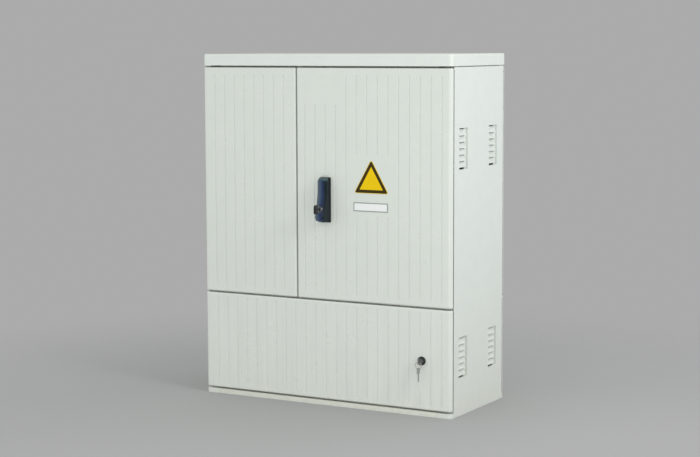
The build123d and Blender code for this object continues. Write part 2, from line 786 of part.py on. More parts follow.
upright_front = -jamb_back - upright_depth
plate_screw_places = []
for screw_z in (plate_bottom + plate_screw_end, plate_bottom + plate_height / 2,
                plate_bottom + plate_height - plate_screw_end):
    for way in (1, -1):
        plate_screw_places.append(((way * upright_x, upright_front - plate_thickness, screw_z), shank_back))
bar_z1 = mid_rail_z0 - insulator_height

with BuildPart() as mounting_uprights:
    upright_z0 = mid_rail_z1 + shelf_thickness
    for way in (1, -1):
        with BuildSketch(Plane.XY.offset(upright_z0)):
            with Locations((way * upright_x, -jamb_back - upright_depth / 2)):
                Rectangle(upright_width, upright_depth)
        extrude(amount=header_z0 - upright_z0)
        with BuildSketch(Plane.XY.offset(upright_z0 + sheet)):
            with Locations((way * upright_x, -jamb_back - upright_depth / 2 + sheet)):
                Rectangle(upright_width - 2 * sheet, upright_depth)
        extrude(amount=header_z0 - upright_z0 - 2 * sheet, mode=SUB)
        with BuildSketch(Plane.XY.offset(upright_z0)):
            with Locations((way * upright_x, flange_bolt_y)):
                Circle(bolt_shank_radius + thread_clearance)
        extrude(amount=header_z0 - upright_z0, mode=SUB)
    for place, turned in plate_screw_places:
        with Locations(Location(place, turned)):
            add(flush_screw(thread_clearance).part, mode=SUB)

with BuildPart() as mounting_plate:
    with BuildSketch(front_plane(upright_front)):
        with Locations((0, plate_bottom + plate_height / 2)):
            RectangleRounded(plate_width, plate_height, soft_edge)
    extrude(amount=plate_thickness)
    for place, turned in plate_screw_places:
        with Locations(Location(place, turned)):
            add(flush_screw(thread_clearance).part, mode=SUB)

with BuildPart() as plate_screw:
    add(flush_screw(0).part)
    with BuildSketch():
        RegularPolygon(flush_screw_socket / 2, 6, major_radius=False)
    extrude(amount=-plate_thickness / 2, mode=SUB)

plate_screws = bolts_at(plate_screw_places, plate_screw)

with BuildPart() as cable_rail:
    rail_half = half - wall - cable_boss
    with Locations((0, cable_rail_y, cable_rail_z)):
        Box(2 * rail_half, cable_rail_width, cable_rail_depth)
    with Locations((0, cable_rail_y, cable_rail_z + sheet)):
        Box(2 * (rail_half - sheet), cable_rail_width - 2 * sheet, cable_rail_depth, mode=SUB)
    with Locations((0, cable_rail_y, cable_rail_z)):
        Cylinder(bolt_shank_radius + bolt_clearance, 2 * rail_half, rotation=(0, 90, 0), mode=SUB)

with BuildPart() as insulators:
    with BuildSketch(Plane.XY.offset(bar_z1)):
        with Locations((-insulator_x, flange_bolt_y), (insulator_x, flange_bolt_y)):
            RegularPolygon(insulator_radius, 8)
    extrude(amount=insulator_height)
    with BuildSketch(Plane.XY.offset(bar_z1)):
        with Locations((-insulator_x, flange_bolt_y), (insulator_x, flange_bolt_y)):
            Circle(bolt_shank_radius + thread_clearance)
    extrude(amount=insulator_height, mode=SUB)

with BuildPart() as earth_bar:
    with BuildSketch(Plane.XY.offset(bar_z1)):
        with Locations((0, flange_bolt_y)):
            Rectangle(earth_bar_length, earth_bar_width)
        with Locations((-insulator_x, flange_bolt_y), (insulator_x, flange_bolt_y)):
            Circle(bolt_shank_radius + bolt_clearance, mode=SUB)
        with Locations((0, flange_bolt_y)):
            with GridLocations(earth_hole_pitch, 1, int(2 * insulator_x / earth_hole_pitch), 1):
                Circle(bolt_shank_radius, mode=SUB)
    extrude(amount=-earth_bar_thickness)

fitting_places = []
for way in (1, -1):
    fitting_places.append(((way * upright_x, flange_bolt_y, header_z0 + wall), shank_down))
    fitting_places.append(((way * upright_x, flange_bolt_y, mid_rail_z1 - wall), shank_up))
    fitting_places.append(((way * (rail_half - sheet), cable_rail_y, cable_rail_z), (0, -90 * way, 0)))
    fitting_places.append(((way * insulator_x, flange_bolt_y, mid_rail_z0 + wall), shank_down))
    fitting_places.append(((way * insulator_x, flange_bolt_y, bar_z1 - earth_bar_thickness), shank_up))
fitting_bolts = bolts_at(fitting_places)


# Hinges, drawn on the right and mirrored for the left

knuckle_step = (knuckle_height + knuckle_gap) / 2
arm_length = 11.5
arm_setback = axis_x - arm_length


def block(x0, x1, y0, y1, z0, z1, mode=Mode.ADD):
    """Plain box between two corners."""
    with Locations(((x0 + x1) / 2, (y0 + y1) / 2, (z0 + z1) / 2)):
        Box(x1 - x0, y1 - y0, z1 - z0, mode=mode)


def frame_leaves(heights, way):
    """Leaves on the side jamb: a cranked arm from the knuckle round to the jamb's face."""
    with BuildPart() as leaves:
        for z in heights:
            low = z - knuckle_step - knuckle_height / 2
            high = low + knuckle_height
            bottom = z - leaf_height / 2
            top = z + leaf_height / 2
            with Locations((axis_x, axis_y, (low + high) / 2)):
                Cylinder(knuckle_radius, knuckle_height)
            block(arm_setback, axis_x, axis_y - leaf / 2, axis_y + leaf / 2, low, high)
            block(arm_setback, arm_setback + leaf, axis_y - leaf / 2, jamb_front, bottom, top)
            block(axis_x - frame_leaf_end, arm_setback + leaf, jamb_front - leaf, jamb_front, bottom, top)
            with Locations((axis_x, axis_y, z)):
                Cylinder(hinge_pin_radius, leaf_height, mode=SUB)
        if way < 0:
            mirror(about=Plane.YZ, mode=Mode.REPLACE)
    return leaves


def door_leaves(heights, way):
    """Leaves on a door: the upper knuckle and the plate on the door's pads."""
    plate_y = axis_y - knuckle_radius
    with BuildPart() as leaves:
        for z in heights:
            low = z + knuckle_step - knuckle_height / 2
            with Locations((axis_x, axis_y, low + knuckle_height / 2)):
                Cylinder(knuckle_radius, knuckle_height)
            block(axis_x - knuckle_radius - leaf, axis_x, plate_y, plate_y + leaf, low, low + knuckle_height)
            block(axis_x - door_leaf_length, axis_x - knuckle_radius - 1, plate_y, plate_y + leaf,
                  z - leaf_height / 2, z + leaf_height / 2)
            with Locations((axis_x, axis_y, z)):
                Cylinder(hinge_pin_radius + hinge_bore_clearance, leaf_height, mode=SUB)
        if way < 0:
            mirror(about=Plane.YZ, mode=Mode.REPLACE)
    return leaves


with BuildPart() as hinge_frame_leaves:
    add(frame_leaves(upper_hinges, 1).part)
    add(frame_leaves(upper_hinges + lower_hinges, -1).part)

right_hinge_leaves = door_leaves(upper_hinges, 1)
left_hinge_leaves = door_leaves(upper_hinges, -1)
lower_hinge_leaves = door_leaves(lower_hinges, -1)

with BuildPart() as hinge_pins:
    for pin_way, heights in ((1, upper_hinges), (-1, upper_hinges + lower_hinges)):
        for pin_z in heights:
            pin_top = pin_z + knuckle_step + knuckle_height / 2 + knuckle_gap
            pin_foot = pin_z - leaf_height / 2
            with Locations((pin_way * axis_x, axis_y, (pin_foot + pin_top) / 2)):
                Cylinder(hinge_pin_radius, pin_top - pin_foot)
            with Locations((pin_way * axis_x, axis_y, pin_top + 0.75)):
                Cylinder(hinge_pin_radius + 1.5, 1.5)


# Seals

def seal(x0, x1, z0, z1):
    """Closed strip pushed over a door's upright rib ring."""
    with BuildPart() as strip:
        with BuildSketch(front_plane(front + rib_depth)):
            ring_between(x0, x1, z0, z1, seal_width)
        extrude(amount=-seal_thickness)
        with BuildSketch(front_plane(front + rib_depth)):
            ring_between(x0, x1, z0, z1, rib + 2 * seal_fit)
        extrude(amount=rib_depth - seal_rib_depth, mode=SUB)
    return strip


right_door_seal = seal(right_free + seal_edge, half - seal_hinge_side, upper_z0 + seal_edge,
                       upper_z1 - seal_edge)
left_door_seal = seal(-half + seal_hinge_side, left_free - seal_edge, upper_z0 + seal_edge,
                      upper_z1 - seal_edge)
lower_door_seal = seal(-half + seal_hinge_side, half - seal_hinge_side, lower_z0 + seal_edge,
                       lower_z1 - seal_edge)

# Swing handle

plate_front = front - handle_plate
lever_back = plate_front - lever_gap
cam_y = front + cam_start
cam_back = cam_y + cam_thickness
tang = 7.0

with BuildPart() as handle_backplate:
    with BuildSketch(front_plane(front)):
        with Locations((handle_x, handle_bottom + handle_length / 2)):
            RectangleRounded(handle_width, handle_length, 3)
    extrude(amount=handle_plate)
    chamfer(handle_backplate.faces().sort_by(Axis.Y)[0].edges(), length=1.5)
    with BuildSketch(front_plane(plate_front)):
        with Locations((handle_x, spindle_z)):
            Circle(spindle_radius + hinge_bore_clearance)
    extrude(amount=-handle_plate, mode=SUB)
    with BuildSketch(front_plane(front)):
        with Locations((handle_x, spindle_z)):
            Circle(spindle_radius + 4 + hinge_bore_clearance)
    extrude(amount=2.5, mode=SUB)
    with BuildSketch(front_plane(front)):
        for screw_z in handle_screws_z:
            with Locations((handle_x, screw_z)):
                Circle(handle_screw_radius + thread_clearance)
    extrude(amount=handle_plate - 1.2, mode=SUB)
    with BuildSketch(front_plane(plate_front)):
        with Locations((handle_x, handle_lock_z - 1)):
            Circle(plug_radius + 1)
    extrude(amount=-3, mode=SUB)

with BuildPart() as handle_screws:
    for screw_z in handle_screws_z:
        with BuildSketch(front_plane(front + skin)):
            with Locations((handle_x, screw_z)):
                Circle(handle_screw_radius)
        extrude(amount=skin + handle_plate - 2)
        with BuildSketch(front_plane(front + skin)):
            with Locations((handle_x, screw_z)):
                RegularPolygon(5, 6, major_radius=False)
        extrude(amount=-3)

with BuildPart() as handle_spindle:
    with BuildSketch(front_plane(cam_y)):
        with Locations((handle_x, spindle_z)):
            Circle(spindle_radius)
    extrude(amount=cam_y - plate_front + 0.4)
    with BuildSketch(front_plane(front - 0.1)):
        with Locations((handle_x, spindle_z)):
            Circle(spindle_radius + 4)
    extrude(amount=2.3)
    with BuildSketch(front_plane(cam_back - 0.1)):
        with Locations((handle_x, spindle_z)):
            Rectangle(tang, tang)
    extrude(amount=cam_thickness)
    with BuildSketch(side_plane(handle_x - spindle_radius)):
        with Locations((pivot_y, spindle_z)):
            Circle(lug_radius)
        with Locations(((pivot_y + plate_front) / 2, spindle_z)):
            Rectangle(plate_front - pivot_y, 2 * lug_radius - 0.4)
    extrude(amount=2 * spindle_radius)
    with Locations((handle_x, pivot_y, spindle_z)):
        Cylinder(2 + hinge_bore_clearance, 4 * spindle_radius, rotation=(0, 90, 0), mode=SUB)
    with BuildSketch(front_plane(cam_back)):
        with Locations((handle_x, spindle_z)):
            Circle(2 + thread_clearance)
    extrude(amount=12, mode=SUB)

with BuildPart() as latch_cam:
    with BuildSketch(front_plane(cam_y)):
        with Locations((handle_x, spindle_z)):
            Circle(cam_radius)
            Rectangle(tang + 0.1, tang + 0.1, mode=SUB)
    extrude(amount=-cam_thickness)
    with BuildSketch(front_plane(cam_back)):
        with Locations((handle_x - pin_offset_x, spindle_z + pin_offset_x),
                       (handle_x + pin_offset_x, spindle_z - pin_offset_x)):
            Circle(cam_pin_radius)
    extrude(amount=-(rod_start + rod_thickness + 0.3 - cam_start - cam_thickness))

with BuildPart() as cam_bolt:
    with BuildSketch(front_plane(cam_back)):
        with Locations((handle_x, spindle_z)):
            RegularPolygon(4.7, 6, major_radius=False)
    extrude(amount=-2.2)
    with BuildSketch(front_plane(cam_back)):
        with Locations((handle_x, spindle_z)):
            Circle(2)
    extrude(amount=11)

lever_low = handle_bottom + 2
lever_top = handle_top - 1
nose_z = lever_low + lever_foot_rise + lever_nose_rise
nose_y = front - lever_nose_reach
lever_top_y = front - lever_top_reach
heel = lever_back - pivot_y
slot_half = spindle_radius + 0.4
rim_front = front - lock_rim_reach
rim_back = rim_front + lock_rim_length

with BuildPart() as handle_lever:
    with BuildSketch(side_plane(handle_x - lever_width / 2)):
        with BuildLine():
            turn = heel * cos(radians(45))
            Polyline((lever_back, spindle_z), (lever_back, lever_low), (front - lever_foot_reach, lever_low),
                     (nose_y, lever_low + lever_foot_rise), (nose_y, nose_z))
            ThreePointArc((nose_y, nose_z), (front - lever_waist_reach, nose_z + lever_waist_rise),
                          (lever_top_y, nose_z + lever_grip_rise))
            Polyline((lever_top_y, nose_z + lever_grip_rise), (lever_top_y, lever_top - lever_bevel),
                     (lever_top_y + lever_bevel, lever_top), (pivot_y - 3, lever_top),
                     (pivot_y, spindle_z + heel))
            ThreePointArc((pivot_y, spindle_z + heel), (pivot_y + turn, spindle_z + turn),
                          (lever_back, spindle_z))
        make_face()
    extrude(amount=lever_width)
    flanks = handle_lever.edges().filter_by(
        lambda e: abs(abs(e.center().X - handle_x) - lever_width / 2) < 0.01
        and e.center().Y < plate_front - 2 * lever_edge)
    chamfer(flanks, length=lever_edge)
    # Slot for the spindle's lug, open to the back
    block(handle_x - slot_half, handle_x + slot_half, pivot_y - lug_radius - 1.5, lever_back + 1,
          spindle_z - lug_radius - 1, spindle_z + lug_radius + 2.5, Mode.SUBTRACT)
    with Locations((handle_x, pivot_y, spindle_z)):
        Cylinder(2 + thread_clearance, lever_width, rotation=(0, 90, 0), mode=SUB)
    # Bore for the lock's plug and the wider seat of its rim
    with BuildSketch(front_plane(lever_back)):
        with Locations((handle_x, handle_lock_z)):
            Circle(plug_radius + plug_clearance)
    extrude(amount=lever_back - nose_y, mode=SUB)
    with BuildSketch(front_plane(rim_back)):
        with Locations((handle_x, handle_lock_z)):
            Circle(lock_rim_radius + thread_clearance)
    extrude(amount=rim_back - nose_y, mode=SUB)

with BuildPart() as lever_pin:
    with Locations((handle_x, pivot_y, spindle_z)):
        Cylinder(2, lever_width - 2, rotation=(0, 90, 0))

with BuildPart() as handle_lock_rim:
    with BuildSketch(front_plane(rim_back)):
        with Locations((handle_x, handle_lock_z)):
            Circle(lock_rim_radius)
            Circle(plug_radius + plug_clearance, mode=SUB)
    extrude(amount=lock_rim_length)
    chamfer(handle_lock_rim.faces().sort_by(Axis.Y)[0].edges(), length=0.7)

plug_front = rim_front + 0.5

with BuildPart() as handle_lock_plug:
    with BuildSketch(front_plane(lever_back - 0.7)):
        with Locations((handle_x, handle_lock_z)):
            Circle(plug_radius)
    extrude(amount=lever_back - 0.7 - plug_front)
    with BuildSketch(front_plane(plug_front)):
        with Locations((handle_x, handle_lock_z)):
            Rectangle(key_thickness + 2 * key_fit, key_blade_width + 2 * key_fit)
    extrude(amount=-handle_key_blade, mode=SUB)

with BuildPart() as handle_key:
    bow_start = rim_front - handle_key_stem
    with BuildSketch(side_plane(handle_x - handle_key_thickness / 2)):
        with Locations((bow_start - handle_key_reach / 2, handle_lock_z)):
            RectangleRounded(handle_key_reach, handle_key_height, 6)
        with Locations((bow_start - handle_key_reach + 6.5, handle_lock_z)):
            Circle(2.8, mode=SUB)
    extrude(amount=handle_key_thickness)
    chamfer(handle_key.faces().filter_by(Axis.X).edges(), length=1)
    block(handle_x - key_thickness / 2, handle_x + key_thickness / 2, bow_start - 3,
          bow_start + handle_key_blade, handle_lock_z - key_blade_width / 2,
          handle_lock_z + key_blade_width / 2)


# Latch rods, their guides and keepers

def latch_rod(x, pin_z, tip_z):
    """Flat rod with the cam pin's slot at one end and a bevelled tip at the other."""
    way = 1 if tip_z > pin_z else -1
    slot_height = 2 * (cam_pin_radius + slot_clearance)
    slot_length = cam_pin_circle - pin_offset_x + slot_height
    root_z = pin_z - way * (slot_height / 2 + 5)
    with BuildPart() as rod:
        with BuildSketch(front_plane(front + rod_start)):
            with BuildLine():
                Polyline((x - rod_width / 2, root_z), (x + rod_width / 2, root_z),
                         (x + rod_width / 2, tip_z - way * 4), (x + rod_width / 2 - 4, tip_z),
                         (x - rod_width / 2 + 4, tip_z), (x - rod_width / 2, tip_z - way * 4), close=True)
            make_face()
            with Locations((x, pin_z)):
                RectangleRounded(slot_length, slot_height, slot_height / 2 - 0.1, mode=SUB)
        extrude(amount=-rod_thickness)
    return rod


top_rod_x = handle_x - rod_offset
bottom_rod_x = handle_x + rod_offset
top_rod = latch_rod(top_rod_x, spindle_z + pin_offset_x, top_keeper_z0 - keeper_gap)
bottom_rod = latch_rod(bottom_rod_x, spindle_z - pin_offset_x, bottom_keeper_z1 + keeper_gap)

guide_height = 16.0
guide_wall = 6.0
rod_fit = 0.2
rod_guide_places = [(top_rod_x, top_keeper_z0 - 27), (top_rod_x, spindle_z + 62),
                    (bottom_rod_x, spindle_z - 168), (bottom_rod_x, bottom_keeper_z1 + 26)]

with BuildPart() as rod_guides:
    for guide_x, guide_z in rod_guide_places:
        with BuildSketch(Plane.XY.offset(guide_z - guide_height / 2)):
            with Locations((guide_x, (front + skin + front + rod_start + rod_thickness + 3) / 2)):
                Rectangle(rod_width + 2 * guide_wall, rod_start + rod_thickness + 3 - skin)
            with Locations((guide_x, front + rod_start + rod_thickness / 2)):
                Rectangle(rod_width + 2 * rod_fit, rod_thickness + 2 * rod_fit, mode=SUB)
        extrude(amount=guide_height)

bolt_x = left_free - bolt_edge
bolt_y = front + bolt_reach
bolt_guide_steps = [18.0, 54.0]
bolt_guide_height = 12.0
knob_step = bolt_guide_steps[-1] + bolt_guide_height + bolt_travel + 9


def shoot_bolt(tip_z, way):
    """Round bolt with its finger knob; way is the direction in which it locks."""
    with BuildPart() as rod:
        with BuildSketch(Plane.XY.offset(tip_z)):
            with Locations((bolt_x, bolt_y)):
                Circle(bolt_radius)
        extrude(amount=-way * bolt_length)
        with BuildSketch(front_plane(bolt_y)):
            with Locations((bolt_x, tip_z - way * knob_step)):
                Circle(bolt_radius + 1.5)
        extrude(amount=-8)
    return rod


left_top_bolt = shoot_bolt(top_keeper_z0 - keeper_gap, 1)
left_bottom_bolt = shoot_bolt(bottom_keeper_z1 + keeper_gap, -1)

with BuildPart() as bolt_guides:
    for tip_z, way in ((top_keeper_z0 - keeper_gap, 1), (bottom_keeper_z1 + keeper_gap, -1)):
        for step in bolt_guide_steps:
            with BuildSketch(Plane.XY.offset(tip_z - way * step - bolt_guide_height / 2)):
                with Locations((bolt_x, (front + skin + bolt_y + bolt_radius + 3) / 2)):
                    Rectangle(24, bolt_reach + bolt_radius + 3 - skin)
                with Locations((bolt_x, bolt_y)):
                    Circle(bolt_radius + rod_fit, mode=SUB)
            extrude(amount=bolt_guide_height)

keeper_ear = 3.0

with BuildPart() as latch_keepers:
    for keeper_x, keeper_z in ((top_rod_x, top_keeper_z0), (bottom_rod_x, bottom_keeper_z1 - keeper_height)):
        with BuildSketch(Plane.XY.offset(keeper_z)):
            with Locations((keeper_x, jamb_front - 8)):
                Rectangle(rod_width + 10, 16)
            with Locations((keeper_x, jamb_front - keeper_ear / 2)):
                Rectangle(rod_width + 46, keeper_ear)
            with Locations((keeper_x, front + rod_start + rod_thickness / 2)):
                Rectangle(rod_width + 2, rod_thickness + 2.6, mode=SUB)
        extrude(amount=keeper_height)
    for keeper_z in (top_keeper_z0, bottom_keeper_z1 - keeper_height):
        with BuildSketch(Plane.XY.offset(keeper_z)):
            with Locations((bolt_x, jamb_front - 8)):
                Rectangle(22, 16)
            with Locations((bolt_x - 27, jamb_front - keeper_ear / 2)):
                Rectangle(36, keeper_ear)
            with Locations((bolt_x, bolt_y)):
                Circle(bolt_radius + slot_clearance, mode=SUB)
        extrude(amount=keeper_height)

# Cam lock of the lower door

lock_front = front - lock_ring
plug_back = front + lock_barrel_end + 4

with BuildPart() as lock_body:
    with BuildSketch(front_plane(front)):
        with Locations((lock_x, lock_z)):
            Circle(lock_ring_radius)
    extrude(amount=lock_ring)
    chamfer(lock_body.faces().sort_by(Axis.Y)[0].edges(), length=1.5)
    with BuildSketch(front_plane(front)):
        with Locations((lock_x, lock_z)):
            Circle(lock_barrel_radius)
    extrude(amount=-lock_barrel_end)
    with BuildSketch(front_plane(lock_front)):
        with Locations((lock_x, lock_z)):
            Circle(plug_radius + plug_clearance)
    extrude(amount=-lock_ring - lock_barrel_end, mode=SUB)

with BuildPart() as lock_nut:
    with BuildSketch(front_plane(front + skin)):
        with Locations((lock_x, lock_z)):
            RegularPolygon(lock_barrel_radius + 4, 6, major_radius=False)
            Circle(lock_barrel_radius + thread_clearance, mode=SUB)
    extrude(amount=-5)

with BuildPart() as lock_plug:
    with BuildSketch(front_plane(plug_back)):
        with Locations((lock_x, lock_z)):
            Circle(plug_radius)
    extrude(amount=plug_back - lock_front - 1)
    with BuildSketch(front_plane(lock_front)):
        with Locations((lock_x, lock_z)):
            Rectangle(key_thickness + 2 * key_fit, key_blade_width + 2 * key_fit)
    extrude(amount=-22, mode=SUB)
    with BuildSketch(front_plane(plug_back)):
        with Locations((lock_x, lock_z)):
            Circle(hinge_screw_radius + thread_clearance)
    extrude(amount=9, mode=SUB)

with BuildPart() as lock_cam:
    with BuildSketch(front_plane(plug_back)):
        with Locations((lock_x, lock_z + plug_radius - lock_cam_length / 2)):
            RectangleRounded(lock_cam_width, lock_cam_length, lock_cam_width / 2 - 0.1)
        with Locations((lock_x, lock_z)):
            Circle(hinge_screw_radius + thread_clearance, mode=SUB)
    extrude(amount=-lock_cam_thickness)

with BuildPart() as lock_cam_screw:
    with BuildSketch(front_plane(plug_back + lock_cam_thickness)):
        with Locations((lock_x, lock_z)):
            RegularPolygon(4.5, 6, major_radius=False)
    extrude(amount=-3)
    with BuildSketch(front_plane(plug_back + lock_cam_thickness)):
        with Locations((lock_x, lock_z)):
            Circle(hinge_screw_radius)
    extrude(amount=lock_cam_thickness + 8)

lock_bow_y = lock_front - 2
hole_y = lock_bow_y - key_bow - 2 + key_hole_inset
hang_drop = key_hole_radius - key_ring_wire - key_fit
ring_top_z = lock_z - hang_drop
ring_z = ring_top_z - key_ring_radius
spare_hole_z = ring_z - key_ring_radius - hang_drop
spare_top_z = spare_hole_z + key_hole_inset
spare_low_z = spare_top_z - spare_key_length

with BuildPart() as lock_key:
    with BuildSketch(side_plane(lock_x - key_thickness / 2)):
        with Locations((lock_bow_y - (key_bow + 2) / 2, lock_z)):
            RectangleRounded(key_bow + 2, key_bow, 6)
        with Locations((lock_bow_y + 9, lock_z)):
            Rectangle(22, key_blade_width)
        with Locations((hole_y, lock_z)):
            Circle(key_hole_radius, mode=SUB)
    extrude(amount=key_thickness)

with BuildPart() as key_ring:
    with Locations((lock_x, hole_y, ring_z)):
        Torus(key_ring_radius, key_ring_wire, rotation=(90, 0, 0))

with BuildPart() as spare_key:
    with BuildSketch(side_plane(lock_x - key_thickness / 2)):
        with Locations((hole_y, spare_top_z - key_bow / 2)):
            RectangleRounded(key_bow, key_bow, 6)
        with Locations((hole_y, (spare_low_z + spare_top_z - key_bow + 3) / 2)):
            Rectangle(key_blade_width, spare_key_length - key_bow + 3)
        with Locations((hole_y, spare_hole_z)):
            Circle(key_hole_radius, mode=SUB)
        for notch in (6.0, 11.0, 17.0):
            with Locations((hole_y - key_blade_width / 2, spare_low_z + notch)):
                Circle(1.6, mode=SUB)
    extrude(amount=key_thickness)

pieces = {
    "right_side_wall": right_side_wall,
    "left_side_wall": left_side_wall,
    "roof": roof,
    "front_header": front_header,
    "rear_header": rear_header,
    "front_mid_rail": front_mid_rail,
    "rear_mid_rail": rear_mid_rail,
    "front_base_rail": front_base_rail,
    "rear_base_rail": rear_base_rail,
    "centre_post": centre_post,
    "partition_shelf": partition_shelf,
    "upper_rear_panel": upper_rear_panel,
    "lower_rear_panel": lower_rear_panel,
    "frame_bolts": frame_bolts,
    "mounting_uprights": mounting_uprights,
    "mounting_plate": mounting_plate,
    "plate_screws": plate_screws,
    "cable_rail": cable_rail,
    "insulators": insulators,
    "earth_bar": earth_bar,
    "fitting_bolts": fitting_bolts,
    "latch_keepers": latch_keepers,
    "hinge_frame_leaves": hinge_frame_leaves,
    "hinge_pins": hinge_pins,
    "right_door": right_door,
    "right_door_seal": right_door_seal,
    "right_hinge_leaves": right_hinge_leaves,
    "handle_backplate": handle_backplate,
    "handle_screws": handle_screws,
    "rod_guides": rod_guides,
    "handle_spindle": handle_spindle,
    "latch_cam": latch_cam,
    "cam_bolt": cam_bolt,
    "handle_lever": handle_lever,
    "lever_pin": lever_pin,
    "handle_lock_rim": handle_lock_rim,
    "handle_lock_plug": handle_lock_plug,
    "handle_key": handle_key,
    "top_rod": top_rod,
    "bottom_rod": bottom_rod,
    "left_door": left_door,
    "left_door_seal": left_door_seal,
    "left_hinge_leaves": left_hinge_leaves,
    "bolt_guides": bolt_guides,
    "left_top_bolt": left_top_bolt,
    "left_bottom_bolt": left_bottom_bolt,
    "lower_door": lower_door,
    "lower_door_seal": lower_door_seal,
    "lower_hinge_leaves": lower_hinge_leaves,
    "lock_body": lock_body,
    "lock_nut": lock_nut,
    "lock_plug": lock_plug,
    "lock_cam": lock_cam,
    "lock_cam_screw": lock_cam_screw,
    "lock_key": lock_key,
    "key_ring": key_ring,
    "spare_key": spare_key,
}

os.makedirs("parts", exist_ok=True)
for name, piece in pieces.items():
    piece.part.label = name
    export_step(piece.part, "parts/" + name + ".step")
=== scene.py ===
import json
from math import pi, radians, sin, sqrt

import bmesh
import bpy
from mathutils import Euler, Matrix, Vector


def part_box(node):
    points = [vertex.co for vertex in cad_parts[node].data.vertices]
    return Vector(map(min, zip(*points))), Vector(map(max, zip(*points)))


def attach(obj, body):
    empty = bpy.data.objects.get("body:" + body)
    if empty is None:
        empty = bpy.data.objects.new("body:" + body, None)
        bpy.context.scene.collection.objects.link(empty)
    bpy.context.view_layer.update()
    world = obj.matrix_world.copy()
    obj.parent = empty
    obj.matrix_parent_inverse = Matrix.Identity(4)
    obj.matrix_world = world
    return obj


# Roadside utility cabinet: finishes, sign plates, small screws, studio and camera
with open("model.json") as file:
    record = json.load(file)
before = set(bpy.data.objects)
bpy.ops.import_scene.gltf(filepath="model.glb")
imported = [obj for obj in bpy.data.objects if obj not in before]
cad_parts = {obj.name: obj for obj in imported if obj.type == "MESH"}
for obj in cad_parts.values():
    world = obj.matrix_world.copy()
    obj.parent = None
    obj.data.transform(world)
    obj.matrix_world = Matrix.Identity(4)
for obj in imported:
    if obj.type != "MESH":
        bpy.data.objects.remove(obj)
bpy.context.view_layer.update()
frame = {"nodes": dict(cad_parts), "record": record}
scene = bpy.context.scene
MM = 0.001

# Camera, fitted to the corners of the cabinet in the photograph; its angles are in degrees
picture_width = 700
focal_length_px = 1724.9
sensor_width = 36
camera_place = Vector((2.9521, -5.2341, 1.2373))
camera_turn = 29.534
camera_down = 6.147
camera_roll = -0.208

# Button-head screws of the hinge leaves, two at each hinge
screw_radius = 3.4 * MM
screw_height = 1.8 * MM
screw_edge = 0.6            # rounded share of the head's height
socket_wall = 0.25          # share of the head's radius
socket_depth = 0.5          # share of the head's height
door_leaf_back = -197.5 * MM
frame_leaf_front = -182 * MM
door_screw_x = 456 * MM
frame_screw_x = 454 * MM
screw_rise = 14 * MM        # above and below a hinge's middle
upper_hinges = (477 * MM, 760.5 * MM, 1044 * MM)
lower_hinges = (132 * MM, 251 * MM)

# Screws of the keepers, whose ears lie flush with the frame leaves
keeper_heights = (1124 * MM, 397 * MM)
rod_keepers_x = (-4.9 * MM, 25.9 * MM)
rod_keeper_reach = 23 * MM  # from a rod to the screw on either side
bolt_keeper_screws_x = (-178 * MM, -162 * MM)

# Sign plates on the right door
door_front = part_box("right_door")[0].y
triangle_centre = (186.3 * MM, 774.2 * MM)
triangle_side = 131 * MM
triangle_corner = 10 * MM   # cut along each side, a radius of 6 mm
triangle_rim = 1.4 * MM
triangle_border = 10.7 * MM
triangle_field_corner = 1.5 * MM
label_centre = (184 * MM, 689.9 * MM)
label_size = (130.5 * MM, 30 * MM)
label_corner = 2 * MM
label_border = 3.2 * MM
label_field_corner = 0.5 * MM
plate_thickness = 1 * MM

# Studio floor: a disc that is clear beyond its second fade distance
floor_radius = 6
floor_fade = (0.8, 2.2)

# Sockets of a colour mix node
MIX_A, MIX_B, MIX_RESULT = 6, 7, 2


def linear(hex_colour, alpha=1.0):
    """Turns a hex sRGB colour to the linear values that a shader takes"""
    values = [int(hex_colour[i:i + 2], 16) / 255 for i in (1, 3, 5)]
    return [v / 12.92 if v <= 0.04045 else ((v + 0.055) / 1.055) ** 2.4 for v in values] + [alpha]


def per_size(size_mm):
    """Texture scale that repeats about once in size_mm on Object coordinates"""
    return 1000 / size_mm


def add(tree, kind, settings=None, inputs=None):
    """Adds a node with its settings; an input takes a value or another node's output"""
    made = tree.nodes.new(kind)
    for name, value in (settings or {}).items():
        setattr(made, name, value)
    for name, value in (inputs or {}).items():
        if isinstance(value, bpy.types.NodeSocket):
            tree.links.new(value, made.inputs[name])
        else:
            made.inputs[name].default_value = value
    return made


def start_material(name):
    """Gives a new material's node tree, its shader and the place on the object"""
    material = bpy.data.materials.new(name)
    material.use_nodes = True
    tree = material.node_tree
    shader = tree.nodes["Principled BSDF"]
    place = add(tree, "ShaderNodeTexCoord").outputs["Object"]
    return material, tree, shader, place


